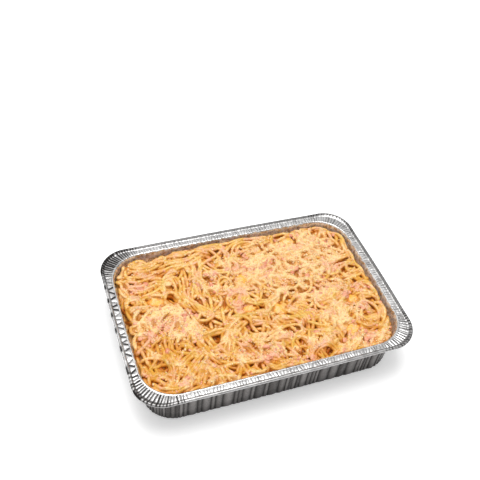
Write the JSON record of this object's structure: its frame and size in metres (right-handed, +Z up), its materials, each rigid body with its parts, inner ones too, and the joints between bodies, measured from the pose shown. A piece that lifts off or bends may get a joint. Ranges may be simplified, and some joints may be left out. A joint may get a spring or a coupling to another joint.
{
  "type": "foil tray meal",
  "caption": "Rectangular fluted foil catering tray with a crimped, rolled rim, filled almost to the rim with creamy spaghetti, ham flecks and cheese lumps.",
  "frame": {"origin": "centre of the tray's flat base, on the surface that it stands on", "axes": "+X along the long side, +Y across, +Z up through the open top"},
  "size_m": [0.329, 0.227, 0.0591],
  "materials": {
    "foil": "thin bright foil, pleated walls and crimped rim",
    "pasta": "moist cooked spaghetti in a creamy peach sauce, satin",
    "cheese": "soft half-melted yellow cheese, satin"
  },
  "bodies": {
    "root": {"foil_tray": "foil", "pasta_heap": "pasta", "cheese_lump_1": "cheese", "cheese_lump_2": "cheese", "cheese_lump_3": "cheese", "cheese_lump_4": "cheese", "cheese_lump_5": "cheese", "cheese_lump_6": "cheese", "cheese_lump_7": "cheese"}
  },
  "joints": []
}
